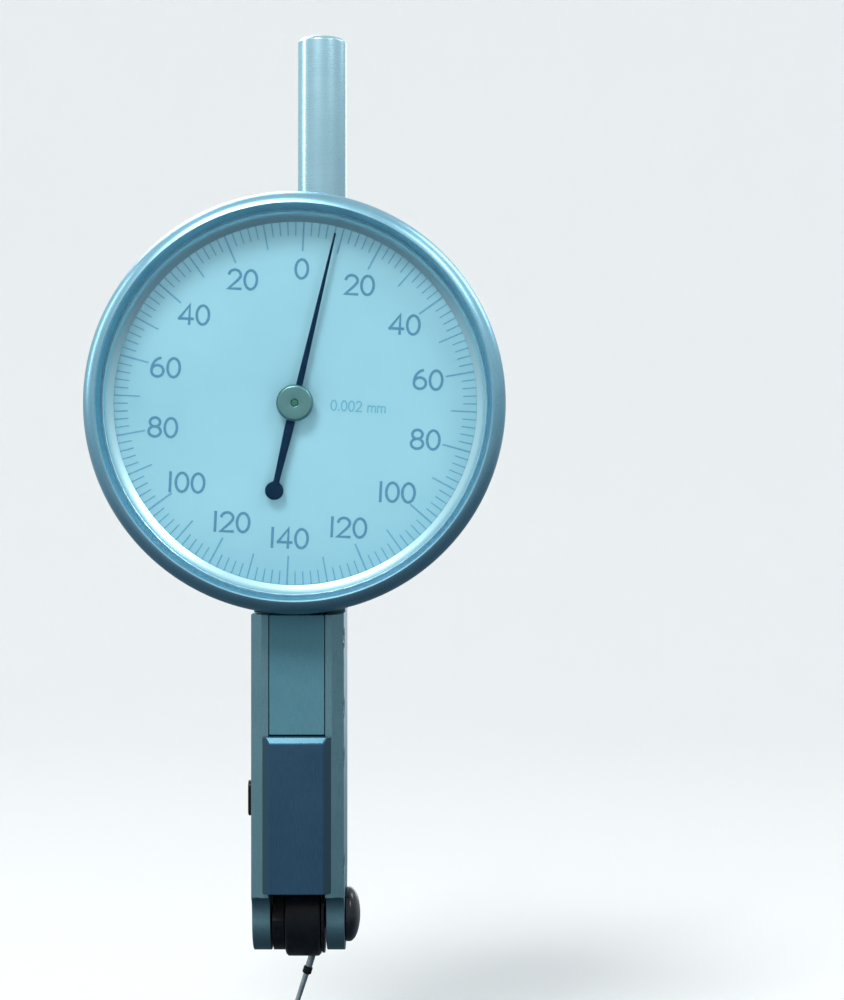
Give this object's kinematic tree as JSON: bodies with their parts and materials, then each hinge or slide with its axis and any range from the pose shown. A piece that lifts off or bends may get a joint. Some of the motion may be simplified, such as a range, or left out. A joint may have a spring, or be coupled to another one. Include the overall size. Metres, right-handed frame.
{
  "type": "dial test indicator",
  "caption": "Lever-type dial test indicator: round dial with turning bezel, slim bar body, swivelling contact point, jewelled gear train and round clamping stem.",
  "frame": {"origin": "centre of the stem's flat top end", "axes": "+Z along the stem, away from the body; the dial faces -Y; +X is the reader's right"},
  "size_m": [0.0399, 0.0224, 0.1031],
  "materials": {
    "satin_chrome": "satin chrome plate",
    "dark_chrome": "satin chrome plate, darker",
    "black_oxide": "black oxide",
    "steel": "turned steel",
    "brass": "machined brass",
    "spring_bronze": "rolled bronze strip",
    "ruby": "polished synthetic ruby",
    "blue_steel": "dark blue lacquered steel",
    "hub_metal": "turned, fine lathe marks",
    "dial_paint": "matt pale blue paint with printed scale",
    "clear_plastic": "clear polished plastic",
    "seal_plastic": "plain"
  },
  "bodies": {
    "frame": {"body_frame": "satin_chrome", "upper_cover": "satin_chrome", "front_cover": "dark_chrome", "cover_screw_1": "black_oxide", "cover_screw_2": "black_oxide", "cover_screw_3": "black_oxide", "cover_screw_4": "black_oxide", "dial_case": "satin_chrome", "case_screw_1": "steel", "case_screw_2": "steel", "case_screw_3": "steel", "case_screw_4": "steel", "bezel_spring": "steel", "front_bridge": "brass", "bridge_screw_1": "steel", "bridge_screw_2": "steel", "jewel_front": "ruby", "rear_bridge": "brass", "rear_bridge_screw_1": "steel", "rear_bridge_screw_2": "steel", "jewel_rear": "ruby", "jewel_left": "ruby", "jewel_right": "ruby", "hairspring": "spring_bronze", "hairspring_stud": "brass", "pivot_screw_right": "black_oxide", "pivot_screw_left": "black_oxide", "lever_spring": "steel", "spring_screw": "steel", "clamp_block": "satin_chrome", "clamp_jaw": "satin_chrome", "stem": "satin_chrome"},
    "bezel_group": {"bezel": "satin_chrome", "crystal": "clear_plastic", "crystal_seal": "seal_plastic", "dial_plate": "dial_paint"},
    "pointer_group": {"pointer": "blue_steel", "pointer_hub": "hub_metal", "centre_arbor": "steel", "hairspring_collet": "brass"},
    "crown_group": {"crown_wheel": "brass", "intermediate_arbor": "steel"},
    "lever_group": {"sector_lever": "black_oxide", "friction_washer": "black_oxide"},
    "contact_group": {"contact_holder": "black_oxide", "contact_point": "steel", "contact_ball": "steel"},
    "reversing_group": {"reversing_lever": "black_oxide"},
    "clamp_screw_group": {"clamp_screw": "steel"}
  },
  "joints": [
    {"name": "bezel_turn", "type": "hinge", "parent": "frame", "child": "bezel_group", "pos_m": [-0.00175, -0.019, -0.0383], "axis": [0, 1, 0], "continuous": true},
    {"name": "pointer_spin", "type": "hinge", "parent": "frame", "child": "pointer_group", "pos_m": [-0.00175, -0.017, -0.0383], "axis": [0, 1, 0], "range_deg": [-181, 181], "stiffness_Nm_per_rad": 0.000003},
    {"name": "crown_spin", "type": "hinge", "parent": "frame", "child": "crown_group", "pos_m": [-0.00175, -0.0083, -0.0383], "axis": [1, 0, 0], "range_deg": [-31.3, 31.3]},
    {"name": "lever_swing", "type": "hinge", "parent": "frame", "child": "lever_group", "pos_m": [-0.00175, -0.0083, -0.0885], "axis": [1, 0, 0], "range_deg": [-0.57, 0.57]},
    {"name": "contact_swing", "type": "hinge", "parent": "lever_group", "child": "contact_group", "pos_m": [-0.00175, -0.0083, -0.0885], "axis": [1, 0, 0], "range_deg": [-100, 100]},
    {"name": "reversing_tip", "type": "hinge", "parent": "frame", "child": "reversing_group", "pos_m": [-0.00625, -0.0104, -0.0767], "axis": [1, 0, 0], "range_deg": [-12, 12]},
    {"name": "clamp_screw_turn", "type": "hinge", "parent": "frame", "child": "clamp_screw_group", "pos_m": [-0.00815, 0.001, -0.0413], "axis": [1, 0, 0], "continuous": true}
  ],
  "couplings": [
    {"joint": "pointer_spin", "follows": "lever_swing", "ratio": 316.49},
    {"joint": "crown_spin", "follows": "lever_swing", "ratio": -54.778}
  ]
}
